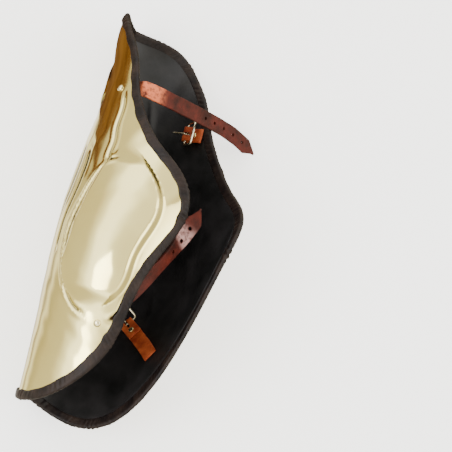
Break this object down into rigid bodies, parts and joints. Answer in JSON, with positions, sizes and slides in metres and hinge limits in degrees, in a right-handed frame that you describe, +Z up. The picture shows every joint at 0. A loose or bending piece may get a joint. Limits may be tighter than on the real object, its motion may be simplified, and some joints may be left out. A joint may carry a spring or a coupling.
{
  "type": "greave",
  "caption": "Brass shin and knee guard with a leather lining, a bound rim, and two leather straps with wire buckles.",
  "frame": {"origin": "middle of the greave's box, on the floor that it lies on", "axes": "+Z up, +Y along the leg toward the knee, +X to the side that the opening leans to"},
  "size_m": [0.1796, 0.4188, 0.1693],
  "materials": {
    "polished_brass": "polished, pale yellow",
    "black_leather": "smooth, slightly glossy, creased",
    "dark_brown_leather": "puckered over the rim",
    "red_brown_leather": "worn, satin",
    "orange_brown_leather": "dyed, satin",
    "pale_brass_wire": "bright wire"
  },
  "bodies": {
    "root": {"shell": "polished_brass", "lining": "black_leather", "binding": "dark_brown_leather", "upper_strap": "red_brown_leather", "lower_strap": "red_brown_leather", "upper_tab": "orange_brown_leather", "lower_tab": "orange_brown_leather", "upper_buckle_frame": "pale_brass_wire", "upper_buckle_prong": "pale_brass_wire", "lower_buckle_frame": "pale_brass_wire", "lower_buckle_prong": "pale_brass_wire", "rivet_strap_upper": "polished_brass", "rivet_strap_lower": "polished_brass", "rivet_buckle_upper": "polished_brass", "stud_buckle_lower": "polished_brass", "rivet_side_1": "polished_brass", "rivet_side_2": "polished_brass"}
  },
  "joints": []
}
